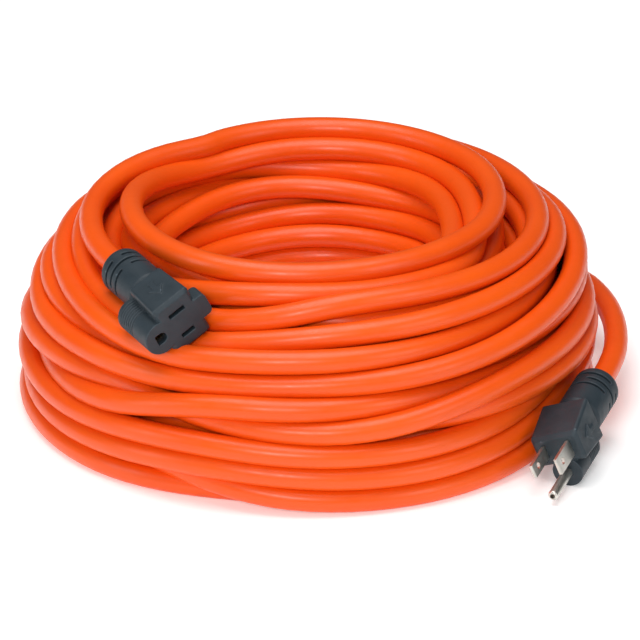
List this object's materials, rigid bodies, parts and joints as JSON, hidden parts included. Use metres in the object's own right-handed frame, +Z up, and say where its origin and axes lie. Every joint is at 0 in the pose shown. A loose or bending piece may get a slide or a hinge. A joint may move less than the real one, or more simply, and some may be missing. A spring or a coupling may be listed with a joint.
{
  "type": "extension cord",
  "caption": "Coiled outdoor extension cord with grounded moulded plug and connector, blades, contacts and conductors as separate pieces.",
  "frame": {"origin": "middle of the whole object's box, on the floor that the coil lies on", "axes": "+Z up along the coil's axis, -Y towards the plug's blades, +X towards the side where the plug lies"},
  "size_m": [0.2864, 0.273, 0.101],
  "materials": {
    "orange_jacket": "semi-gloss flexible PVC",
    "slate_moulding": "matte moulded PVC",
    "nickel_blade": "nickel-plated brass, satin",
    "contact_brass": "stamped brass",
    "insert_plastic": "hard moulded plastic",
    "copper": "stranded copper",
    "black_insulation": "smooth PVC",
    "white_insulation": "smooth PVC",
    "green_insulation": "smooth PVC"
  },
  "bodies": {
    "root": {"cord_coil": "orange_jacket", "plug_lead": "orange_jacket", "connector_lead": "orange_jacket", "plug_jacket_end": "orange_jacket", "connector_jacket_end": "orange_jacket", "plug_overmould": "slate_moulding", "connector_overmould": "slate_moulding", "plug_blade_bridge": "insert_plastic", "plug_hot_blade": "nickel_blade", "plug_neutral_blade": "nickel_blade", "plug_ground_pin": "nickel_blade", "connector_contact_block": "insert_plastic", "connector_block_cap": "insert_plastic", "connector_hot_contact": "contact_brass", "connector_neutral_contact": "contact_brass", "connector_ground_contact": "contact_brass", "plug_hot_insulation": "black_insulation", "plug_neutral_insulation": "white_insulation", "plug_ground_insulation": "green_insulation", "connector_hot_insulation": "black_insulation", "connector_neutral_insulation": "white_insulation", "connector_ground_insulation": "green_insulation", "plug_hot_core": "copper", "plug_neutral_core": "copper", "plug_ground_core": "copper", "connector_hot_core": "copper", "connector_neutral_core": "copper", "connector_ground_core": "copper"}
  },
  "joints": []
}
